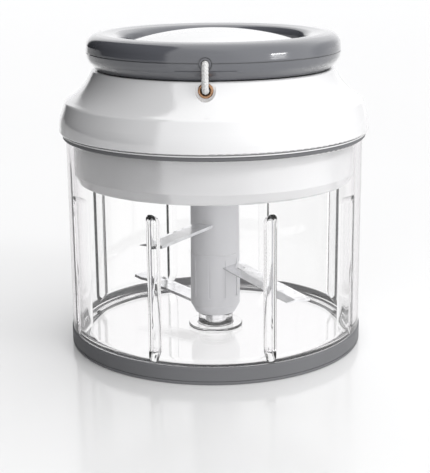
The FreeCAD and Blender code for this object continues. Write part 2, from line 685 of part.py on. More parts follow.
def lead_edges():
    """Path of the cord inside the lid: through the eyelet, one bend, then straight to the spool."""
    turn = lead_angle()
    start = V(0, SPLIT_Y, CORD_Z)
    bend = V(0, LEAD_STRAIGHT_Y, CORD_Z)
    half = turn / 2
    on_bend = bend + V(LEAD_BEND * (1 - math.cos(half)), LEAD_BEND * math.sin(half), 0)
    bent = bend + V(LEAD_BEND * (1 - math.cos(turn)), LEAD_BEND * math.sin(turn), 0)
    end = V(WIND_R * math.cos(turn), -WIND_R * math.sin(turn), CORD_Z)
    return [
        Part.LineSegment(start, bend).toShape(),
        Part.Arc(bend, on_bend, bent).toShape(),
        Part.LineSegment(bent, end).toShape(),
    ]


def make_cord_lead():
    """Cord between the eyelet and the spool."""
    return swept(lead_edges(), CORD_R)


def make_axle():
    """Steel axle held in the boss under the dome."""
    return cylinder(AXLE_R, AXLE_LOW_Z, AXLE_TOP_Z)


def make_spring_case():
    """Open case for the recoil spring, standing on the tower."""
    wall = tube(TOWER_R - TOWER_WALL, TOWER_R, TOWER_TOP_Z, CASE_TOP_Z)
    floor = tube(HUB_R + 0.6, TOWER_R, TOWER_TOP_Z, TOWER_TOP_Z + CASE_FLOOR)
    return wall.fuse(floor)


def half_circle(centre, radius, start, height):
    """Half circle that starts at an angle in radians and runs counter-clockwise."""
    points = []
    for step in (0.0, 0.5, 1.0):
        angle = start + math.pi * step
        points.append(V(centre[0] + radius * math.cos(angle), centre[1] + radius * math.sin(angle), height))
    return Part.Arc(points[0], points[1], points[2]).toShape()


def spiral(radius, step, halves, start, height):
    """Half circles whose radius falls by one step each, tangent to each other, about two centres."""
    shift = (step * math.cos(start), step * math.sin(start))
    edges = []
    for k in range(halves):
        centre = (0.0, 0.0) if k % 2 == 0 else (-shift[0], -shift[1])
        edges.append(half_circle(centre, radius - k * step, start + math.pi * k, height))
    return edges


def make_recoil_spring():
    """Flat spiral spring that winds the cord back on to the spool."""
    outer_r = TOWER_R - TOWER_WALL - 0.4
    step = SPRING_PITCH / 2
    halves = int((outer_r - SPRING_IN_R - SPRING_THICK) / step)
    outside = spiral(outer_r, step, halves, 0.0, SPRING_LOW_Z)
    inside = spiral(outer_r - SPRING_THICK, step, halves, 0.0, SPRING_LOW_Z)
    caps = [
        Part.LineSegment(outside[0].Vertexes[0].Point, inside[0].Vertexes[0].Point).toShape(),
        Part.LineSegment(outside[-1].Vertexes[-1].Point, inside[-1].Vertexes[-1].Point).toShape(),
    ]
    loop = Part.Wire(Part.__sortEdges__(outside + inside + caps))
    return Part.Face(loop).extrude(V(0, 0, SPRING_HIGH_Z - SPRING_LOW_Z))


# ---------------------------------------------------------------- spool body
def make_spool():
    """Flanged spool with a hexagonal tail that drives the hub."""
    groove_low = CORD_Z - GROOVE_H / 2
    groove_high = CORD_Z + GROOVE_H / 2
    body = revolved([
        (0, SPOOL_LOW_Z, 0),
        (SPOOL_R, SPOOL_LOW_Z, 0.5),
        (SPOOL_R, groove_low, 0.4),
        (SPOOL_CORE_R, groove_low, 0.3),
        (SPOOL_CORE_R, groove_high, 0.3),
        (SPOOL_R, groove_high, 0.4),
        (SPOOL_R, SPOOL_HIGH_Z, 0.5),
        (AXLE_BOSS_R, SPOOL_HIGH_Z, 0),
        (AXLE_BOSS_R, AXLE_BOSS_Z - FREE_GAP, 0.3),
        (0, AXLE_BOSS_Z - FREE_GAP, 0),
    ])
    body = body.fuse(hexagon(HEX_FLATS, SPLINE_LOW_Z, SPOOL_LOW_Z + 0.5))
    return body.cut(cylinder(AXLE_R + RUN_FIT, SPLINE_LOW_Z - 1, AXLE_BOSS_Z))


def make_drive_hub():
    """Hub below the spool: hexagonal socket above, neck through the cup, hexagonal nose below."""
    body = revolved([
        (0, HEX_TOP_Z, 0),
        (HUB_NECK_R, HEX_TOP_Z, 0.3),
        (HUB_NECK_R, HUB_SHOULDER_Z, 0),
        (HUB_R, HUB_SHOULDER_Z, 0.4),
        (HUB_R, SPOOL_LOW_Z, 0.4),
        (0, SPOOL_LOW_Z, 0),
    ])
    body = body.fuse(hexagon(HEX_FLATS, HUB_LOW_Z, HEX_TOP_Z + 1))
    body = body.cut(hexagon(HEX_FLATS, SPLINE_LOW_Z, SPOOL_LOW_Z + 1))
    return body.cut(cylinder(AXLE_R + RUN_FIT, AXLE_LOW_Z - 1, SPOOL_LOW_Z + 1))


def make_cord_on_spool():
    """Cord wound on the spool as a flat spiral, starting where the lead arrives."""
    edges = spiral(WIND_R, WIND_PITCH / 2, WIND_HALF_TURNS, -lead_angle(), CORD_Z)
    return swept(edges, CORD_R)


# ---------------------------------------------------------------- handle body
def ring_section(inset, foot):
    """Corners of the ring handle's section, all faces moved in by an inset."""
    low = RING_LOW_Z + inset
    corners = [
        (RING_R - inset, RING_SEAM_Z, 6.0),
        (RING_R - 0.6 - inset, RING_TOP_Z - 0.7 - inset, 4.6 - inset),
        (RING_IN_R + 7.8, RING_TOP_Z + 0.1 - inset, 8.0 - inset),
        (RING_IN_R + 0.9 + inset, RING_TOP_Z - 0.8 - inset, 3.2 - inset),
    ]
    if foot:
        corners.append((RING_IN_R, SEAT_Z, 0.5))
        corners.append((RING_IN_R + RING_FOOT_W, SEAT_Z, 0.1))
        corners.append((RING_IN_R + RING_FOOT_W, low, 0.1))
    else:
        corners.append((RING_IN_R + inset, low, 0.5))
    corners.append((RING_R - 3.7 - 0.4 * inset, low, 1.6 - 0.4 * inset))
    corners.append((RING_R - 0.6 - inset, RING_LOW_Z + 3.6 + 0.4 * inset, 4.0 - 0.5 * inset))
    return corners


def ring_posts(radius, low, high):
    """Upright bars on the screw circle of the ring handle, fused."""
    bars = None
    for angle in evenly(RING_SCREWS, RING_SCREW_FIRST_DEG):
        bar = cylinder(radius, low, high, polar(RING_SCREW_R, angle))
        bars = bar if bars is None else bars.fuse(bar)
    return bars


def seam_groove():
    """Fine slot round the outside of the seam."""
    low = RING_SEAM_Z - SEAM_HEIGHT / 2
    return tube(RING_R - SEAM_DEPTH, RING_R + 2, low, low + SEAM_HEIGHT)


def collar_bar(radius, start_r, end_r):
    """Bar along -Y at the height of the handle's hole."""
    return Part.makeCylinder(radius, end_r - start_r, V(0, -start_r, EXIT_Z), V(0, -1, 0))


def make_handle_halves():
    """Lower and upper shells of the ring handle."""
    solid = revolved(ring_section(0, True))
    hollow = revolved(ring_section(RING_WALL, False))
    shell = solid.cut(hollow).cut(seam_groove())
    slab_low = tube(RING_IN_R - 5, RING_R + 5, SEAT_Z - 5, RING_SEAM_Z)
    slab_high = tube(RING_IN_R - 5, RING_R + 5, RING_SEAM_Z, RING_TOP_Z + 5)
    pad = revolved([
        (RING_R - 5.3, RING_LOW_Z - PAD_H + 0.35, 0.1),
        (RING_R - 3.5, RING_LOW_Z - PAD_H + 0.35, 0.6),
        (RING_R - 0.4, RING_LOW_Z + 3.7, 0),
        (RING_R - 1.7, RING_LOW_Z + 3.7, 0),
        (RING_R - 5.3, RING_LOW_Z + 1.0, 0),
    ], PAD_DEG)
    pad = turned(pad, -90.0 - PAD_DEG / 2)
    collar_cut = collar_bar(COLLAR_R, RING_R - 4, RING_R + 2)
    low = shell.common(slab_low).fuse(pad)
    low = low.fuse(ring_posts(RING_BOSS_R, RING_LOW_Z, RING_BOSS_Z))
    low = low.cut(ring_posts(2.4, RING_LOW_Z - 2, RING_BOSS_Z - 1.2))
    low = low.cut(ring_posts(SCREW_R + 0.2, RING_LOW_Z, RING_BOSS_Z + 1)).cut(collar_cut)
    high = shell.common(slab_high)
    high = high.fuse(ring_posts(RING_BOSS_R - 0.4, RING_BOSS_Z, RING_TOP_Z - RING_WALL + 0.3))
    high = high.cut(ring_posts(SCREW_R - 0.2, RING_BOSS_Z - 1, RING_BOSS_Z + 7)).cut(collar_cut)
    return low, high


def make_handle_collar():
    """Arched bush that guides the cord out of the seam."""
    lip = collar_bar(COLLAR_R + COLLAR_LIP, RING_R - COLLAR_LEN, RING_R - RING_WALL)
    lip = lip.common(revolved(ring_section(RING_WALL + 0.05, False)))
    body = collar_bar(COLLAR_R - COLLAR_GAP, RING_R - COLLAR_LEN, RING_R + 1)
    body = body.common(revolved(ring_section(0, False))).fuse(lip)
    return body.cut(collar_bar(CORD_R + 0.2, RING_R - 5, RING_R + 2))


def make_handle_screws():
    """Screws that join the two shells of the ring handle from below."""
    head_z = RING_BOSS_Z - 1.2
    heads = ring_posts(2.2, head_z - 1.3, head_z)
    return heads.fuse(ring_posts(SCREW_R - 0.2, head_z - 0.3, RING_BOSS_Z + 6))


def cord_edges():
    """Path of the exposed cord: out of the handle, down past its lower shell, into the eyelet."""
    knot_y = -(RING_R - COLLAR_LEN - KNOT_R)
    out_y = -(CORD_DROP_R - UPPER_BEND)
    in_y = -(CORD_DROP_R - LOWER_BEND)
    slant = math.sqrt(0.5)
    upper_z = EXIT_Z - UPPER_BEND
    lower_z = CORD_Z + LOWER_BEND
    upper_mid = V(0, out_y - UPPER_BEND * slant, upper_z + UPPER_BEND * slant)
    lower_mid = V(0, in_y - LOWER_BEND * slant, lower_z - LOWER_BEND * slant)
    return [
        Part.LineSegment(V(0, knot_y, EXIT_Z), V(0, out_y, EXIT_Z)).toShape(),
        Part.Arc(V(0, out_y, EXIT_Z), upper_mid, V(0, -CORD_DROP_R, upper_z)).toShape(),
        Part.LineSegment(V(0, -CORD_DROP_R, upper_z), V(0, -CORD_DROP_R, lower_z)).toShape(),
        Part.Arc(V(0, -CORD_DROP_R, lower_z), lower_mid, V(0, in_y, CORD_Z)).toShape(),
        Part.LineSegment(V(0, in_y, CORD_Z), V(0, SPLIT_Y, CORD_Z)).toShape(),
    ]


def make_pull_cord():
    """Exposed cord between the ring handle and the eyelet."""
    return swept(cord_edges(), CORD_R)


def make_cord_knot(cord):
    """Knot inside the ring handle, bearing on the collar."""
    centre = V(0, -(RING_R - COLLAR_LEN - KNOT_R), EXIT_Z)
    return Part.makeSphere(KNOT_R, centre).cut(cord)


def main():
    """Build and export every node."""
    os.makedirs("parts", exist_ok=True)
    upper = make_upper_blade()
    middle = make_middle_blade()
    lower = make_lower_blade()
    handle_low, handle_high = make_handle_halves()
    cord = make_pull_cord()
    nodes = [
        ("bowl", make_bowl()),
        ("base_ring", make_base_ring()),
        ("spindle_pin", make_spindle_pin()),
        ("column_lower", make_column_lower([middle, lower])),
        ("column_upper", make_column_upper(upper)),
        ("pin_bush", make_pin_bush()),
        ("upper_blade", upper),
        ("middle_blade", middle),
        ("lower_blade", lower),
        ("lid_shell", make_lid_shell()),
        ("lid_base", make_lid_base()),
        ("lid_seal", make_lid_seal()),
        ("hub_seal", make_hub_seal()),
        ("thrust_washer", make_thrust_washer()),
        ("lid_screws", make_lid_screws()),
        ("cord_eyelet", make_cord_eyelet()),
        ("eyelet_clip", make_eyelet_clip()),
        ("cord_lead", make_cord_lead()),
        ("spool_axle", make_axle()),
        ("spring_case", make_spring_case()),
        ("recoil_spring", make_recoil_spring()),
        ("spool", make_spool()),
        ("drive_hub", make_drive_hub()),
        ("cord_on_spool", make_cord_on_spool()),
        ("handle_bottom", handle_low),
        ("handle_top", handle_high),
        ("handle_collar", make_handle_collar()),
        ("handle_screws", make_handle_screws()),
        ("pull_cord", cord),
        ("cord_knot", make_cord_knot(cord)),
    ]
    for name, shape in nodes:
        export(name, shape)


main()
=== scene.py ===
"""Hand-operated food processor: finishes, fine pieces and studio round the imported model.

Everything is in metres in the model's own frame: +Z up, the cord towards -Y, the table at z = 0.
"""

import logging
import math
from dataclasses import dataclass
from enum import Enum
from typing import ClassVar, Sequence

import bmesh
import bpy
import numpy as np
from mathutils import Matrix, Vector


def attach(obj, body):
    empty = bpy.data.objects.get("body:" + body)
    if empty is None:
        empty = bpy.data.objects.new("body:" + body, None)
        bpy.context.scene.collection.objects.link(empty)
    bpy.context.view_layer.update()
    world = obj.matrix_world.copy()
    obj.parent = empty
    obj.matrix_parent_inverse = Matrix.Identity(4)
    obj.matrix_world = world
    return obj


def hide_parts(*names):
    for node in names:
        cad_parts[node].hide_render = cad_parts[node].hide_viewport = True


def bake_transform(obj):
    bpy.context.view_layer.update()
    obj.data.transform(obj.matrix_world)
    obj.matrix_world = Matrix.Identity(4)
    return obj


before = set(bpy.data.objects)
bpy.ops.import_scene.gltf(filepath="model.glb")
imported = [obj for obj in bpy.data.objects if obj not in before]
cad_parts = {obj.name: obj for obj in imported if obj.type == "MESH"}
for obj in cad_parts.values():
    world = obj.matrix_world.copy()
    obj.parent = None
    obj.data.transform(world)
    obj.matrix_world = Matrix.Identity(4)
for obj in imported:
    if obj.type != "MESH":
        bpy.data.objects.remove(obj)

LOG = logging.getLogger("food_processor")
MM = 0.001

# Outlines: a straight run longer than this gets a support point near each end, in millimetres.
SUPPORTED_RUN = 0.6
SUPPORT_DISTANCE = 0.12
SUPPORT_SHARE = 0.2
# Meshes: points closer than this are one point, and a quad thinner than this is left out, in metres.
MERGE_DISTANCE = 2e-7
THIN_QUAD = 1e-8

# Sockets of the colour Mix node.
MIX_A, MIX_B, MIX_RESULT = 6, 7, 2

# Fineness of the usual grain of moulded plastic.
GRAIN_SCALE = 900.0

BLACK = (0.0, 0.0, 0.0)
WHITE = (1.0, 1.0, 1.0)

Triple = tuple[float, float, float]


class Slot(Enum):
    """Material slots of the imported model."""

    CLEAR = "clear_plastic"
    RUBBER = "grey_rubber"
    WHITE_GLOSS = "white_gloss"
    WHITE_SATIN = "white_satin"
    GREY_GLOSS = "grey_gloss"
    INNER = "grey_inner_plastic"
    STEEL = "polished_steel"
    BRASS = "eyelet_brass"
    CORD = "white_cord"


class Lay(Enum):
    """Axis that a turned piece is laid along."""

    UPRIGHT = "upright"
    OUT_TO_CORD = "out_to_cord"


# ---------------------------------------------------------------- surfaces
def rounded_outline(corners: Sequence[Triple], step_deg: float = 7.0) -> np.ndarray:
    """Closed outline through corners, each rounded by its own radius.

    Round a corner the outline is c + R (cos t, sin t) between the two tangent points; elsewhere it is
    straight, with a support point close to each end so that smooth shading stays flat.

    Args:
        corners: (radius from the axis, height, rounding) in millimetres, counter-clockwise.
        step_deg: Angle between points on a rounded corner.

    Returns:
        Points of the outline as an (n, 2) array in millimetres.
    """
    pieces: list[np.ndarray] = []
    spots = np.array([(c[0], c[1]) for c in corners], float)
    count = len(spots)
    for i, (_, _, radius) in enumerate(corners):
        here = spots[i]
        back = spots[i - 1] - here
        ahead = spots[(i + 1) % count] - here
        back /= np.linalg.norm(back)
        ahead /= np.linalg.norm(ahead)
        if radius <= 0:
            pieces.append(here[None, :])
            continue
        half = math.acos(float(np.clip(back @ ahead, -1, 1))) / 2
        middle = (back + ahead) / np.linalg.norm(back + ahead)
        centre = here + middle * radius / math.sin(half)
        first = here + back * radius / math.tan(half) - centre
        last = here + ahead * radius / math.tan(half) - centre
        start = math.atan2(first[1], first[0])
        swing = math.remainder(math.atan2(last[1], last[0]) - start, 2 * math.pi)
        steps = max(2, int(abs(math.degrees(swing)) / step_deg) + 1)
        t = start + swing * np.linspace(0, 1, steps + 1)
        pieces.append(centre + radius * np.stack([np.cos(t), np.sin(t)], 1))
    supported: list[np.ndarray] = []
    for i, piece in enumerate(pieces):
        supported.append(piece)
        edge = pieces[(i + 1) % count][0] - piece[-1]
        length = float(np.linalg.norm(edge))
        if length > SUPPORTED_RUN:
            near = min(SUPPORT_DISTANCE, SUPPORT_SHARE * length) / length
            supported.append(piece[-1] + edge * np.array([[near], [1 - near]]))
    return np.concatenate(supported)


def ring_angles(count: int) -> np.ndarray:
    """Evenly spaced angles round one turn, in radians."""
    return np.linspace(0, 2 * np.pi, count, endpoint=False)


def grid_mesh(
    name: str, points: np.ndarray, wrap_rows: bool, wrap_columns: bool, sharp_deg: float
) -> bpy.types.Object:
    """Object made from a grid of points, with quads between neighbours.

    Args:
        name: Name of the piece.
        points: (rows, columns, 3) array in metres.
        wrap_rows: Whether the last row joins the first.
        wrap_columns: Whether the last column joins the first.
        sharp_deg: Edges sharper than this are shaded hard.

    Returns:
        The new object, with the whole grid's doubles merged.
    """
    rows, columns = points.shape[:2]
    row_ids = np.arange(rows if wrap_rows else rows - 1)
    column_ids = np.arange(columns if wrap_columns else columns - 1)
    i, j = np.meshgrid(row_ids, column_ids, indexing="ij")
    here = i * columns
    above = (i + 1) % rows * columns
    beside = (j + 1) % columns
    quads = np.stack([here + j, here + beside, above + beside, above + j], -1).reshape(-1, 4)
    flat = points.reshape(-1, 3)
    spread = np.ptp(flat[quads], axis=1)
    quads = quads[(spread > THIN_QUAD).sum(axis=1) >= 2]
    mesh = bpy.data.meshes.new(name)
    mesh.vertices.add(len(flat))
    mesh.vertices.foreach_set("co", flat.astype(np.float32).ravel())
    mesh.loops.add(quads.size)
    mesh.loops.foreach_set("vertex_index", quads.astype(np.int32).ravel())
    mesh.polygons.add(len(quads))
    mesh.polygons.foreach_set("loop_start", np.arange(0, quads.size, 4, dtype=np.int32))
    mesh.polygons.foreach_set("loop_total", np.full(len(quads), 4, np.int32))
    mesh.update(calc_edges=True)
    mesh.validate()
    close_up(mesh, sharp_deg)
    made = bpy.data.objects.new(name, mesh)
    bpy.context.scene.collection.objects.link(made)
    return made


def close_up(mesh: bpy.types.Mesh, sharp_deg: float) -> None:
    """Merge doubles, drop loose points and shade smooth except at hard edges.

    Args:
        mesh: Mesh to finish.
        sharp_deg: Edges sharper than this are shaded hard.
    """
    work = bmesh.new()
    work.from_mesh(mesh)
    bmesh.ops.remove_doubles(work, verts=work.verts, dist=MERGE_DISTANCE)
    loose = [v for v in work.verts if not v.link_faces]
    bmesh.ops.delete(work, geom=loose, context="VERTS")
    work.to_mesh(mesh)
    work.free()
    mesh.shade_smooth()
    mesh.set_sharp_from_angle(angle=math.radians(sharp_deg))


def lathe(
    name: str,
    outline: np.ndarray,
    angles: np.ndarray,
    lay: Lay = Lay.UPRIGHT,
    rise: float = 0.0,
    sharp_deg: float = 40.0,
) -> bpy.types.Object:
    """Turned piece: each outline point (r, z) goes to (r cos a, r sin a, z) for every angle a.

    Args:
        name: Name of the piece.
        outline: Closed outline in millimetres, counter-clockwise.
        angles: Angles of the columns in radians.
        lay: Upright, or with the turning axis laid along -Y.
        rise: Distance by which the laid piece is lifted, in millimetres.
        sharp_deg: Edges sharper than this are shaded hard.

    Returns:
        The new object.
    """
    r = outline[:, 0][:, None]
    z = np.repeat(outline[:, 1][:, None], len(angles), 1)
    points = np.stack([r * np.cos(angles), r * np.sin(angles), z], -1)
    if lay is Lay.OUT_TO_CORD:
        points = np.stack([points[..., 0], -points[..., 2], points[..., 1]], -1)
    points[..., 2] += rise
    return grid_mesh(name, points * MM, True, True, sharp_deg)


# ---------------------------------------------------------------- node building
class Graph:
    """Short way to add and link nodes in one node tree."""

    def __init__(self, tree: bpy.types.NodeTree) -> None:
        """Keep the tree that nodes go into."""
        self.tree = tree

    def add(self, kind: str, **settings: object) -> bpy.types.Node:
        """Add a node and set its plain properties.

        Args:
            kind: Blender's node type name.
            settings: Properties of the node by name.

        Returns:
            The new node.
        """
        node = self.tree.nodes.new(kind)
        for key, value in settings.items():
            setattr(node, key, value)
        return node

    def link(self, source: bpy.types.NodeSocket, target: bpy.types.NodeSocket) -> None:
        """Join an output to an input."""
        self.tree.links.new(source, target)

    def math(self, operation: str, a: object, b: object = 0.0) -> bpy.types.NodeSocket:
        """Maths node on sockets or numbers.

        Args:
            operation: Name of the operation.
            a: First socket or number.
            b: Second socket or number.

        Returns:
            The result socket.
        """
        node = self.add("ShaderNodeMath", operation=operation)
        for place, value in enumerate((a, b)):
            if isinstance(value, bpy.types.NodeSocket):
                self.link(value, node.inputs[place])
            else:
                node.inputs[place].default_value = value
        return node.outputs[0]

    def mix(self, factor: bpy.types.NodeSocket, a: object, b: object) -> bpy.types.NodeSocket:
        """Colour between two colours or colour sockets by a factor socket.

        Args:
            factor: Zero gives a, one gives b.
            a: Colour or socket.
            b: Colour or socket.

        Returns:
            The mixed colour socket.
        """
        node = self.add("ShaderNodeMix", data_type="RGBA")
        self.link(factor, node.inputs[0])
        for place, value in ((MIX_A, a), (MIX_B, b)):
            if isinstance(value, bpy.types.NodeSocket):
                self.link(value, node.inputs[place])
            else:
                node.inputs[place].default_value = (*value, 1.0)
        return node.outputs[MIX_RESULT]

    def mask(self, value: bpy.types.NodeSocket, low: float, high: float) -> bpy.types.NodeSocket:
        """Smooth mask: zero at and below low, one at and above high.

        Args:
            value: Socket to turn into a mask.
            low: Value that gives zero.
            high: Value that gives one.

        Returns:
            The mask socket.
        """
        node = self.add("ShaderNodeMapRange", interpolation_type="SMOOTHSTEP")
        self.link(value, node.inputs[0])
        for place, number in enumerate((low, high, 0.0, 1.0), start=1):
            node.inputs[place].default_value = number
        return node.outputs[0]

    def noise(self, scale: float, detail: float, distortion: float = 0.0) -> bpy.types.Node:
        """Noise texture on Object coordinates.

        Args:
            scale: Fineness of the noise.
            detail: Number of finer layers.
            distortion: How far the noise is smeared.

        Returns:
            The noise node.
        """
        place = self.add("ShaderNodeTexCoord")
        node = self.add("ShaderNodeTexNoise")
        node.inputs["Scale"].default_value = scale
        node.inputs["Detail"].default_value = detail
        node.inputs["Distortion"].default_value = distortion
        self.link(place.outputs["Object"], node.inputs["Vector"])
        return node

    def bump(self, height: bpy.types.NodeSocket, distance: float, strength: float) -> bpy.types.NodeSocket:
        """Bump node on a height.

        Args:
            height: Height socket, from zero to one.
            distance: Height of the relief in metres.
            strength: Share of the relief that shows.

        Returns:
            The normal socket.
        """
        node = self.add("ShaderNodeBump")
        node.inputs["Distance"].default_value = distance
        node.inputs["Strength"].default_value = strength
        self.link(height, node.inputs["Height"])
        return node.outputs["Normal"]


def new_group(
    name: str, inputs: dict[str, tuple[str, object]], outputs: dict[str, str]
) -> tuple[bpy.types.NodeTree, Graph, bpy.types.Node, bpy.types.Node]:
    """Shader node group with named inputs and outputs.

    Args:
        name: Name of the group.
        inputs: Socket type and default by name.
        outputs: Socket type by name.

    Returns:
        The tree, its graph, the input node and the output node.
    """
    tree = bpy.data.node_groups.new(name, "ShaderNodeTree")
    for key, (kind, default) in inputs.items():
        socket = tree.interface.new_socket(name=key, in_out="INPUT", socket_type=kind)
        socket.default_value = default
    for key, kind in outputs.items():
        tree.interface.new_socket(name=key, in_out="OUTPUT", socket_type=kind)
    graph = Graph(tree)
    return tree, graph, graph.add("NodeGroupInput"), graph.add("NodeGroupOutput")


def moulded_surface_group() -> bpy.types.NodeTree:
    """Group for moulded plastic: a soft change of tone, faint handling haze and fine grain.

    Tone mixes the colour with a slightly darker one by large noise; haze raises the roughness where a
    second noise is high; grain is small noise for a bump.

    Returns:
        The group, with inputs Colour, Tone, Roughness, Haze and Grain Scale.
    """
    tree, g, source, sink = new_group(
        "Moulded surface",
        {
            "Colour": ("NodeSocketColor", (0.8, 0.8, 0.8, 1.0)),
            "Tone": ("NodeSocketFloat", 0.04),
            "Roughness": ("NodeSocketFloat", 0.2),
            "Haze": ("NodeSocketFloat", 0.05),
            "Grain Scale": ("NodeSocketFloat", GRAIN_SCALE),
        },
        {"Colour": "NodeSocketColor", "Roughness": "NodeSocketFloat", "Grain": "NodeSocketFloat"},
    )
    broad = g.noise(22.0, 3.0)
    smears = g.noise(60.0, 5.0, 0.8)
    grain = g.noise(GRAIN_SCALE, 2.0)
    g.link(source.outputs["Grain Scale"], grain.inputs["Scale"])
    darker = g.add("ShaderNodeMix", data_type="RGBA", blend_type="MULTIPLY")
    shade = g.math("MULTIPLY", g.mask(broad.outputs[0], 0.35, 0.7), source.outputs["Tone"])
    g.link(shade, darker.inputs[0])
    g.link(source.outputs["Colour"], darker.inputs[MIX_A])
    darker.inputs[MIX_B].default_value = (*BLACK, 1.0)
    haze = g.math("MULTIPLY", g.mask(smears.outputs[0], 0.48, 0.72), source.outputs["Haze"])
    g.link(darker.outputs[MIX_RESULT], sink.inputs["Colour"])
    g.link(g.math("ADD", source.outputs["Roughness"], haze), sink.inputs["Roughness"])
    g.link(grain.outputs[0], sink.inputs["Grain"])
    return tree


@dataclass(frozen=True)
class MouldedPlastic:
    """Opaque moulded plastic or rubber.

    Attributes:
        name: Name of the material.
        colour: Linear colour.
        roughness: Base roughness.
        tone: Strength of the soft change of tone.
        haze: Extra roughness where the surface is handled.
        grain: Height of the surface grain in metres.
        grain_scale: Fineness of the grain.
        coat: Weight of the clear top gloss.
        coat_ior: Refractive index of the top gloss.
        coat_roughness: Roughness of the top gloss.
        specular: Specular level of the base.
    """

    name: str
    colour: Triple
    roughness: float
    tone: float = 0.03
    haze: float = 0.04
    grain: float = 0.00001
    grain_scale: float = GRAIN_SCALE
    coat: float = 0.0
    coat_ior: float = 1.5
    coat_roughness: float = 0.04
    specular: float = 0.5

    def make(self, surface: bpy.types.NodeTree) -> bpy.types.Material:
        """Build the material.

        Args:
            surface: The moulded surface group.

        Returns:
            The finished material.
        """
        material, g, shader = new_material(self.name)
        group = g.add("ShaderNodeGroup", node_tree=surface)
        group.inputs["Colour"].default_value = (*self.colour, 1.0)
        group.inputs["Tone"].default_value = self.tone
        group.inputs["Roughness"].default_value = self.roughness
        group.inputs["Haze"].default_value = self.haze
        group.inputs["Grain Scale"].default_value = self.grain_scale
        g.link(group.outputs["Colour"], shader.inputs["Base Color"])
        g.link(group.outputs["Roughness"], shader.inputs["Roughness"])
        g.link(g.bump(group.outputs["Grain"], self.grain, 0.5), shader.inputs["Normal"])
        shader.inputs["Coat Weight"].default_value = self.coat
        shader.inputs["Coat Roughness"].default_value = self.coat_roughness
        shader.inputs["Coat IOR"].default_value = self.coat_ior
        shader.inputs["Specular IOR Level"].default_value = self.specular
        return material


@dataclass(frozen=True)
class ClearPlastic:
    """Clear moulded plastic that lets light through to what stands behind it.

    Attributes:
        name: Name of the material.
        colour: Tint where the surface is seen squarely.
        edge: Painted shade: a darker grey-lilac where the surface is seen edge on, standing in for the dark
            edges that reflection and refraction give.
        edge_shade_from: Slant at which the painted edge shade begins.
        shadow: Tint of the light that passes through into shadows.
        roughness: Roughness of the surface.
        ior: Refractive index.
    """

    name: str = "Clear bowl plastic"
    colour: Triple = (0.997, 0.996, 0.997)
    edge: Triple = (0.66, 0.6, 0.64)
    edge_shade_from: float = 0.55
    shadow: Triple = (0.985, 0.983, 0.985)
    roughness: float = 0.015
    ior: float = 1.47

    def make(self) -> bpy.types.Material:
        """Build the material, with shadow rays passing through so the table stays bright.

        Returns:
            The finished material.
        """
        material, g, shader = new_material(self.name)
        slant = g.add("ShaderNodeLayerWeight")
        slant.inputs["Blend"].default_value = 0.5
        # Painted shade: towards an edge-on slant the colour turns to the darker grey-lilac, standing in for
        # the dark edges that reflection and refraction give the clear wall.
        rim = g.mask(slant.outputs["Facing"], self.edge_shade_from, 1.0)
        g.link(g.mix(rim, self.colour, self.edge), shader.inputs["Base Color"])
        shader.inputs["Roughness"].default_value = self.roughness
        shader.inputs["IOR"].default_value = self.ior
        shader.inputs["Transmission Weight"].default_value = 1.0
        path = g.add("ShaderNodeLightPath")
        through = g.add("ShaderNodeBsdfTransparent")
        through.inputs[0].default_value = (*self.shadow, 1.0)
        mix = g.add("ShaderNodeMixShader")
        out = material.node_tree.nodes["Material Output"]
        g.link(path.outputs["Is Shadow Ray"], mix.inputs[0])
        g.link(shader.outputs[0], mix.inputs[1])
        g.link(through.outputs[0], mix.inputs[2])
        g.link(mix.outputs[0], out.inputs["Surface"])
        return material


@dataclass(frozen=True)
class BareMetal:
    """Bare metal with fine marks along it.

    Attributes:
        name: Name of the material.
        colour: Linear colour of the reflection.
        roughness: Base roughness.
        marks: Extra roughness in the fine marks.
        mark_scale: Fineness of the marks.
        dulled: Share of the colour left in the marks.
    """

    name: str
    colour: Triple
    roughness: float
    marks: float = 0.08
    mark_scale: float = 260.0
    dulled: float = 0.86

    def make(self) -> bpy.types.Material:
        """Build the material with marks that vary the roughness and the tone.

        Returns:
            The finished material.
        """
        material, g, shader = new_material(self.name)
        mask = g.mask(g.noise(self.mark_scale, 4.0, 0.3).outputs[0], 0.35, 0.7)
        rough = g.math("ADD", g.math("MULTIPLY", mask, self.marks), self.roughness)
        dull = tuple(self.dulled * part for part in self.colour)
        g.link(g.mix(mask, self.colour, dull), shader.inputs["Base Color"])
        g.link(rough, shader.inputs["Roughness"])
        shader.inputs["Metallic"].default_value = 1.0
        return material


@dataclass(frozen=True)
class BraidedCord:
    """White braided cord with soft, slightly fuzzy fibre.

    Attributes:
        name: Name of the material.
        colour: Linear colour of the fibres.
        shadow: Colour between them.
        fibre_scale: Fineness of the fibres.
        fibre_height: Height of the fibres in metres.
        roughness: Roughness of the fibres.
        fuzz: Weight of the soft sheen.
    """

    name: str = "White braided cord"
    colour: Triple = (0.84, 0.84, 0.83)
    shadow: Triple = (0.5, 0.5, 0.5)
    fibre_scale: float = 2600.0
    fibre_height: float = 0.00012
    roughness: float = 0.75
    fuzz: float = 0.3

    def make(self) -> bpy.types.Material:
        """Build the material with fine fibre noise in the tone and the bump.

        Returns:
            The finished material.
        """
        material, g, shader = new_material(self.name)
        fibres = g.noise(self.fibre_scale, 3.0).outputs[0]
        g.link(g.mix(g.mask(fibres, 0.3, 0.62), self.shadow, self.colour), shader.inputs["Base Color"])
        g.link(g.bump(fibres, self.fibre_height, 0.6), shader.inputs["Normal"])
        shader.inputs["Roughness"].default_value = self.roughness
        shader.inputs["Sheen Weight"].default_value = self.fuzz
        return material


def new_material(name: str) -> tuple[bpy.types.Material, Graph, bpy.types.Node]:
    """Material with a Principled shader ready to fill in.

    Args:
        name: Name of the material.

    Returns:
        The material, the graph of its tree and the shader node.
    """
    material = bpy.data.materials.new(name)
    material.use_nodes = True
    graph = Graph(material.node_tree)
    return material, graph, material.node_tree.nodes["Principled BSDF"]


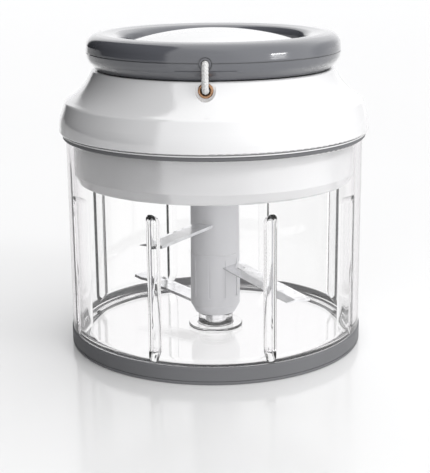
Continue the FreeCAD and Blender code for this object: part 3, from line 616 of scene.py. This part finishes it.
class Finishes:
    """All the finishes of the object, by material slot."""

    def __init__(self) -> None:
        """Build every finish once."""
        surface = moulded_surface_group()
        plastics = {
            Slot.WHITE_GLOSS: MouldedPlastic(
                "White gloss shell", (0.87, 0.87, 0.875), 0.1, 0.015, 0.03, 0.000004, coat=1.0, coat_ior=2.0
            ),
            Slot.WHITE_SATIN: MouldedPlastic("White satin column", (0.8, 0.8, 0.82), 0.34, 0.03, 0.06),
            Slot.GREY_GLOSS: MouldedPlastic(
                "Grey gloss handle", (0.122, 0.126, 0.142), 0.12, 0.05, 0.05, 0.000005, coat=1.0
            ),
            Slot.RUBBER: MouldedPlastic(
                "Grey rubber ring", (0.165, 0.167, 0.175), 0.5, 0.08, 0.08, 0.00002, 1400.0
            ),
            Slot.INNER: MouldedPlastic("Grey inner plastic", (0.36, 0.36, 0.38), 0.42, 0.06, 0.06),
        }
        self.by_slot: dict[Slot, bpy.types.Material] = {
            slot: plastic.make(surface) for slot, plastic in plastics.items()
        }
        self.by_slot[Slot.CLEAR] = ClearPlastic().make()
        self.by_slot[Slot.STEEL] = BareMetal("Polished steel", (0.93, 0.93, 0.94), 0.12, 0.06).make()
        self.by_slot[Slot.BRASS] = BareMetal("Eyelet brass", (0.5, 0.29, 0.17), 0.2, 0.1, 900.0).make()
        self.by_slot[Slot.CORD] = BraidedCord().make()

    def dress(self, piece: bpy.types.Object, slot: Slot) -> None:
        """Give a piece the finish of one slot, and nothing else."""
        piece.data.materials.clear()
        piece.data.materials.append(self.by_slot[slot])

    def dress_node(self, name: str, slot: Slot) -> None:
        """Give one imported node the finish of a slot.

        Args:
            name: Name of the node.
            slot: Slot whose finish it gets.
        """
        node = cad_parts[name]
        finish = self.by_slot[slot]
        for place in range(len(node.material_slots)):
            node.material_slots[place].material = finish
        if not node.material_slots:
            node.data.materials.append(finish)


# ---------------------------------------------------------------- sub-assemblies
class SubAssembly:
    """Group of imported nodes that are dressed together, with room for finer pieces of its own."""

    nodes: ClassVar[dict[str, Slot]] = {}

    def build(self, finishes: Finishes) -> list[bpy.types.Object]:
        """Make the finer pieces; none by default.

        Args:
            finishes: The object's finishes.

        Returns:
            The new pieces.
        """
        return []

    def dress(self, finishes: Finishes) -> None:
        """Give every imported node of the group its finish.

        Args:
            finishes: The object's finishes.
        """
        for name, slot in self.nodes.items():
            finishes.dress_node(name, slot)


@dataclass
class Bowl(SubAssembly):
    """Clear bowl on its rubber ring, with the steel pin.

    Attributes:
        ring_r: Outer radius of the rubber ring in millimetres.
        ring_h: Height of the ring.
        lip: Width of its foot.
        skirt_r: Inner radius beside the bowl's wall.
        under_z: Height of the bowl's underside.
        groove_z: Height of the fine groove above the ring's lower edge.
        groove: Depth and height of the groove.
        columns: Number of angles round the ring.
    """

    ring_r: float = 61.5
    ring_h: float = 7.2
    lip: float = 5.0
    skirt_r: float = 60.14
    under_z: float = 1.97
    groove_z: float = 1.55
    groove: float = 0.3
    columns: int = 240

    nodes: ClassVar[dict[str, Slot]] = {
        "bowl": Slot.CLEAR,
        "base_ring": Slot.RUBBER,
        "spindle_pin": Slot.STEEL,
    }

    def build(self, finishes: Finishes) -> list[bpy.types.Object]:
        """Turn the rubber ring: rounded outline (r, z) carried round the axis.

        Args:
            finishes: The object's finishes.

        Returns:
            The rubber ring.
        """
        inner = self.ring_r - self.lip
        low = self.groove_z - self.groove / 2
        high = self.groove_z + self.groove / 2
        outline = rounded_outline(
            [
                (inner, 0.0, 0.6),
                (self.ring_r, 0.0, 0.95),
                (self.ring_r, low, 0.06),
                (self.ring_r - self.groove, low, 0.04),
                (self.ring_r - self.groove, high, 0.04),
                (self.ring_r, high, 0.06),
                (self.ring_r, self.ring_h, 0.8),
                (self.skirt_r, self.ring_h, 0.1),
                (self.skirt_r, self.under_z, 1.1),
                (inner, self.under_z, 0.4),
            ]
        )
        ring = lathe("base_ring_rubber", outline, ring_angles(self.columns))
        finishes.dress(ring, Slot.RUBBER)
        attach(ring, "base")
        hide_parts("base_ring")
        return [ring]


@dataclass
class BladeColumn(SubAssembly):
    """Two-part column with three steel blades and its bush."""

    nodes: ClassVar[dict[str, Slot]] = {
        "column_lower": Slot.WHITE_SATIN,
        "column_upper": Slot.WHITE_SATIN,
        "pin_bush": Slot.INNER,
        "upper_blade": Slot.STEEL,
        "middle_blade": Slot.STEEL,
        "lower_blade": Slot.STEEL,
    }


@dataclass
class Lid(SubAssembly):
    """White lid with its cup, seals, screws and the eyelet that the cord runs through.

    Attributes:
        cord_z: Height of the eyelet's axis in millimetres.
        hole_r: Radius of the eyelet's hole.
        tube_r: Outer radius of its tube.
        rim_r: Outer radius of its rolled rim.
        back: Distance of the tube's inner end from the axis of the lid.
        seat: Distance of the notch floor that the rim sits on.
        seat_gap: Gap between the notch floor and the rim.
        rim: Thickness of the rim.
        columns: Number of angles round the eyelet.
    """

    cord_z: float = 111.9
    hole_r: float = 1.75
    tube_r: float = 2.39
    rim_r: float = 2.9
    back: float = 45.6
    seat: float = 50.0
    seat_gap: float = 0.01
    rim: float = 0.9
    columns: int = 64

    nodes: ClassVar[dict[str, Slot]] = {
        "lid_shell": Slot.WHITE_GLOSS,
        "lid_base": Slot.WHITE_GLOSS,
        "lid_seal": Slot.RUBBER,
        "hub_seal": Slot.RUBBER,
        "thrust_washer": Slot.INNER,
        "lid_screws": Slot.STEEL,
        "cord_eyelet": Slot.BRASS,
        "eyelet_clip": Slot.BRASS,
    }

    def build(self, finishes: Finishes) -> list[bpy.types.Object]:
        """Turn the eyelet: a tube and a rolled rim carried round a level axis.

        Args:
            finishes: The object's finishes.

        Returns:
            The eyelet.
        """
        front = self.seat + self.rim
        rim_back = self.seat + self.seat_gap
        outline = rounded_outline(
            [
                (self.hole_r, self.back, 0.25),
                (self.tube_r, self.back, 0.08),
                (self.tube_r, rim_back, 0.02),
                (self.rim_r, rim_back, 0.15),
                (self.rim_r, front, 0.5),
                (self.hole_r, front, 0.55),
            ],
            step_deg=12.0,
        )
        eyelet = lathe(
            "cord_eyelet_rolled", outline, ring_angles(self.columns), Lay.OUT_TO_CORD, self.cord_z
        )
        finishes.dress(eyelet, Slot.BRASS)
        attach(eyelet, "lid")
        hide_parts("cord_eyelet")
        return [eyelet]


@dataclass
class Winder(SubAssembly):
    """Spool, drive hub, recoil spring and the cord inside the lid."""

    nodes: ClassVar[dict[str, Slot]] = {
        "cord_lead": Slot.CORD,
        "spool_axle": Slot.STEEL,
        "spring_case": Slot.INNER,
        "recoil_spring": Slot.STEEL,
        "spool": Slot.INNER,
        "drive_hub": Slot.INNER,
        "cord_on_spool": Slot.CORD,
    }


@dataclass
class RingHandle(SubAssembly):
    """Grey ring handle in two shells with its bush, screws and knot."""

    nodes: ClassVar[dict[str, Slot]] = {
        "handle_bottom": Slot.GREY_GLOSS,
        "handle_top": Slot.GREY_GLOSS,
        "handle_collar": Slot.GREY_GLOSS,
        "handle_screws": Slot.STEEL,
        "cord_knot": Slot.CORD,
    }


@dataclass
class CordRun(SubAssembly):
    """Braided cord from the knot in the handle, out of the seam and down into the eyelet.

    Attributes:
        radius: Cord radius in millimetres.
        strands: Strands that run each way round.
        pitch: Length over which a strand goes once round.
        relief: Share of the radius by which the braid goes in from it.
        drop: Distance of the hanging run from the axis of the lid.
        upper_bend: Radius of the bend out of the handle.
        lower_bend: Radius of the bend into the eyelet.
        exit_z: Height at which the cord leaves the handle.
        eyelet_z: Height of the eyelet's axis.
        knot_y: Where the cord starts at the knot.
        inner_y: Where it ends inside the eyelet.
        along: Number of rings of points along the cord.
        around: Number of points round it.
    """

    radius: float = 1.35
    strands: int = 4
    pitch: float = 11.0
    relief: float = 0.14
    drop: float = 53.5
    upper_bend: float = 1.9
    lower_bend: float = 2.0
    exit_z: float = 121.8
    eyelet_z: float = 111.9
    knot_y: float = -46.1
    inner_y: float = -47.5
    along: int = 300
    around: int = 48

    nodes: ClassVar[dict[str, Slot]] = {"pull_cord": Slot.CORD}

    def centre_line(self) -> tuple[np.ndarray, np.ndarray]:
        """Points and directions of the cord's centre line in the YZ plane.

        Returns:
            (n, 2) points in millimetres and (n, 2) unit directions, evenly spaced along the cord.
        """
        out_y = -(self.drop - self.upper_bend)
        in_y = -(self.drop - self.lower_bend)
        runs = [
            self.knot_y - out_y,
            self.upper_bend * math.pi / 2,
            self.exit_z - self.upper_bend - self.eyelet_z - self.lower_bend,
            self.lower_bend * math.pi / 2,
            self.inner_y - in_y,
        ]
        ends = np.cumsum([0.0, *runs])
        s = np.linspace(0, ends[-1], self.along)
        outward, down, inward = math.pi, 1.5 * math.pi, 2 * math.pi
        heading = np.interp(s, ends, [outward, outward, down, down, inward, inward])
        turn = np.stack([np.cos(heading), np.sin(heading)], 1)
        step = (turn[1:] + turn[:-1]) / 2 * np.diff(s)[:, None]
        moved = np.concatenate([np.zeros((1, 2)), np.cumsum(step, 0)])
        points = np.array([self.knot_y, self.exit_z]) + moved
        return points, turn

    def build(self, finishes: Finishes) -> list[bpy.types.Object]:
        """Sweep the braid: radius R (1 - k/2 + k/2 cos(n a + w s) cos(n a - w s)) round the line.

        Args:
            finishes: The object's finishes.

        Returns:
            The cord, which runs from the knot in the handle down into the eyelet in the lid.
        """
        points, turn = self.centre_line()
        s = np.linspace(0, 1, self.along)[:, None]
        a = np.linspace(0, 2 * np.pi, self.around, endpoint=False)[None, :]
        length = float(np.linalg.norm(np.diff(points, axis=0), axis=1).sum())
        w = 2 * np.pi * length / self.pitch * self.strands
        relief = np.cos(self.strands * a + w * s) * np.cos(self.strands * a - w * s)
        radius = self.radius * (1 - self.relief / 2 + self.relief / 2 * relief)
        side = -np.cos(a) * radius
        lift = np.sin(a) * radius
        normal = np.stack([-turn[:, 1], turn[:, 0]], 1)
        y = points[:, :1] + lift * normal[:, :1]
        z = points[:, 1:] + lift * normal[:, 1:]
        grid = np.stack([side, y, z], -1)
        first, last = (np.broadcast_to([0.0, *points[end]], (1, self.around, 3)) for end in (0, -1))
        grid = np.concatenate([first, grid, last])
        cord = grid_mesh("pull_cord_braid", grid * MM, False, True, 60.0)
        finishes.dress(cord, Slot.CORD)
        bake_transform(cord)
        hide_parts("pull_cord")
        return [cord]


# ---------------------------------------------------------------- studio
@dataclass(frozen=True)
class Patch:
    """Part of the room round one direction, with its own brightness.

    Attributes:
        direction: Middle of the patch.
        wide: Angle where the patch ends, in degrees.
        tight: Angle within which it is full.
        colour: Light that comes from it.
        squash: Below one, the patch is taller than it is wide.
    """

    direction: Triple
    wide: float
    tight: float
    colour: Triple
    squash: float = 1.0


@dataclass(frozen=True)
class Lamp:
    """Rectangular lamp.

    Attributes:
        name: Name of the lamp.
        spot: Where it hangs.
        width: Width in metres.
        depth: Height in metres.
        watts: Power.
        in_gloss: Whether gloss shows it.
        on_matt: Whether it lights matt surfaces.
        only: Nodes that it lights, or none for all.
    """

    name: str
    spot: Triple
    width: float
    depth: float
    watts: float
    in_gloss: bool = True
    on_matt: bool = True
    only: tuple[str, ...] = ()


@dataclass
class Studio:
    """Plain pale floor, soft light from all round and a camera at eye height above the table.

    Attributes:
        camera_turn_deg: Turn of the camera round the object.
        camera_back: Distance of the camera from the object's axis in metres.
        camera_height: Height of the camera.
        pitch_deg: Angle by which it looks down.
        roll_deg: Roll of the camera.
        lens: Focal length in millimetres.
        sensor: Width of the sensor in millimetres.
        floor_half: Half the side of the floor in metres.
        floor_colour: Linear colour of the floor.
        floor_roughness: Roughness of the floor.
        floor_glow: Strength of the floor's own light.
        floor_specular: Specular level of the floor.
        walls: Light of the room where no patch is.
        lamps_aim: Point that the lamps face.
    """

    camera_turn_deg: float = 3.4
    camera_back: float = 0.484
    camera_height: float = 0.1714
    pitch_deg: float = 14.86
    roll_deg: float = 0.5
    lens: float = 89.7
    sensor: float = 36.0
    floor_half: float = 7.0
    floor_colour: Triple = (0.88, 0.88, 0.88)
    floor_roughness: float = 0.15
    floor_glow: float = 0.03
    floor_specular: float = 1.0
    walls: Triple = (1.02, 1.02, 1.03)
    lamps_aim: Triple = (0.0, 0.0, 0.1)

    patches: ClassVar[tuple[Patch, ...]] = (
        Patch((0.4, 0.2, 0.9), 60.0, 30.0, (1.5, 1.5, 1.5)),
        Patch((0.9, -0.3, 0.35), 62.0, 30.0, (1.3, 1.3, 1.3)),
        Patch((-0.99, 0.08, 0.0), 60.0, 52.0, (0.01, 0.01, 0.012), squash=0.45),
        Patch((0.8, 0.6, 0.0), 34.0, 16.0, (0.72, 0.72, 0.73)),
    )
    lamps: ClassVar[tuple[Lamp, ...]] = (
        Lamp("right front lamp", (0.706, -0.459, 0.807), 0.3, 0.16, 2.0, in_gloss=False),
        Lamp("low gleam lamp", (1.0, -0.55, 0.27), 0.3, 0.15, 3.2, on_matt=False, only=("handle_top",)),
    )

    def build(self) -> None:
        """Make the floor, the lights, the surroundings and the camera."""
        self.make_floor()
        self.make_surroundings()
        for lamp in self.lamps:
            self.make_lamp(lamp)
        self.make_camera()
        bpy.context.scene.view_settings.view_transform = "Standard"

    def make_floor(self) -> None:
        """Large white floor with a faint gloss."""
        h = self.floor_half
        mesh = bpy.data.meshes.new("floor")
        mesh.from_pydata([(-h, -h, 0), (h, -h, 0), (h, h, 0), (-h, h, 0)], [], [(0, 1, 2, 3)])
        floor = bpy.data.objects.new("floor", mesh)
        bpy.context.scene.collection.objects.link(floor)
        material, _, shader = new_material("White table")
        shader.inputs["Base Color"].default_value = (*self.floor_colour, 1.0)
        shader.inputs["Roughness"].default_value = self.floor_roughness
        shader.inputs["Emission Color"].default_value = (*WHITE, 1.0)
        shader.inputs["Emission Strength"].default_value = self.floor_glow
        shader.inputs["Specular IOR Level"].default_value = self.floor_specular
        mesh.materials.append(material)
        floor.visible_diffuse = False
        floor.visible_transmission = False

    def make_surroundings(self) -> None:
        """Pale room, brighter overhead and on the right, black on the left, grey behind on the right.

        It is plain white where it is seen straight, or through clear plastic. A ray counts as seen through
        plastic until something matt scatters it, or until it meets one gloss behind two clear walls.
        """
        world = bpy.data.worlds.new("White room")
        world.use_nodes = True
        bpy.context.scene.world = world
        g = Graph(world.node_tree)
        background = world.node_tree.nodes["Background"]
        room: Triple | bpy.types.NodeSocket = self.walls
        for patch in self.patches:
            room = g.mix(self.toward(g, patch), room, patch.colour)
        path = g.add("ShaderNodeLightPath")
        unscattered = g.math("LESS_THAN", path.outputs["Diffuse Depth"], 0.5)
        off_one = g.math("ABSOLUTE", g.math("SUBTRACT", path.outputs["Glossy Depth"], 1.0))
        unmirrored = g.math("GREATER_THAN", off_one, 0.5)
        shallow = g.math("LESS_THAN", path.outputs["Transmission Depth"], 3.5)
        clear = g.math("MULTIPLY", unscattered, g.math("MAXIMUM", unmirrored, shallow))
        through = g.math("MULTIPLY", path.outputs["Is Transmission Ray"], clear)
        straight = g.math("MAXIMUM", path.outputs["Is Camera Ray"], through)
        g.link(g.mix(straight, room, WHITE), background.inputs["Color"])
        background.inputs["Strength"].default_value = 1.0

    def toward(self, g: Graph, patch: Patch) -> bpy.types.NodeSocket:
        """Mask that is one in the middle of a patch and fades to zero at its edge.

        Args:
            g: Graph of the room.
            patch: The patch.

        Returns:
            The mask socket.
        """
        place = g.add("ShaderNodeTexCoord")
        flat = g.add("ShaderNodeVectorMath", operation="MULTIPLY")
        flat.inputs[1].default_value = (1.0, 1.0, patch.squash)
        g.link(place.outputs["Generated"], flat.inputs[0])
        unit = g.add("ShaderNodeVectorMath", operation="NORMALIZE")
        g.link(flat.outputs["Vector"], unit.inputs[0])
        dot = g.add("ShaderNodeVectorMath", operation="DOT_PRODUCT")
        g.link(unit.outputs["Vector"], dot.inputs[0])
        dot.inputs[1].default_value = Vector(patch.direction).normalized()
        edge, full = (math.cos(math.radians(angle)) for angle in (patch.wide, patch.tight))
        return g.mask(dot.outputs["Value"], edge, full)

    def make_lamp(self, lamp: Lamp) -> None:
        """Hang one lamp, aimed at the object.

        Args:
            lamp: The lamp.
        """
        light = bpy.data.lights.new(lamp.name, "AREA")
        light.shape = "RECTANGLE"
        light.size = lamp.width
        light.size_y = lamp.depth
        light.energy = lamp.watts
        made = bpy.data.objects.new(lamp.name, light)
        made.location = lamp.spot
        aim = Vector(self.lamps_aim) - Vector(lamp.spot)
        made.rotation_euler = aim.to_track_quat("-Z", "Y").to_euler()
        made.visible_glossy = lamp.in_gloss
        made.visible_diffuse = lamp.on_matt
        bpy.context.scene.collection.objects.link(made)
        if lamp.only:
            lit = bpy.data.collections.new(f"{lamp.name} lights")
            for name in lamp.only:
                lit.objects.link(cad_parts[name])
            made.light_linking.receiver_collection = lit

    def make_camera(self) -> None:
        """Camera aimed down at the object, turned a little to its right and rolled slightly."""
        turn = math.radians(self.camera_turn_deg)
        pitch = math.radians(self.pitch_deg)
        roll = math.radians(self.roll_deg)
        level = math.cos(pitch)
        look = Vector((-math.sin(turn) * level, math.cos(turn) * level, -math.sin(pitch)))
        right = Vector((math.cos(turn), math.sin(turn), 0.0))
        up = right.cross(look)
        right_rolled = right * math.cos(roll) - up * math.sin(roll)
        up_rolled = right_rolled.cross(look)
        turned = Matrix((right_rolled, up_rolled, -look)).transposed()
        lens = bpy.data.cameras.new("camera")
        lens.lens = self.lens
        lens.sensor_width = self.sensor
        camera = bpy.data.objects.new("camera", lens)
        back = self.camera_back
        spot = Vector((back * math.sin(turn), -back * math.cos(turn), self.camera_height))
        camera.matrix_world = Matrix.Translation(spot) @ turned.to_4x4()
        bpy.context.scene.collection.objects.link(camera)
        bpy.context.scene.camera = camera


def main() -> None:
    logging.basicConfig(level=logging.INFO)
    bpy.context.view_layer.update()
    finishes = Finishes()
    for assembly in (Bowl(), BladeColumn(), Lid(), Winder(), RingHandle(), CordRun()):
        assembly.dress(finishes)
        for piece in assembly.build(finishes):
            LOG.info("%s: built %s", type(assembly).__name__, piece.name)
    Studio().build()


if __name__ == "__main__":
    main()
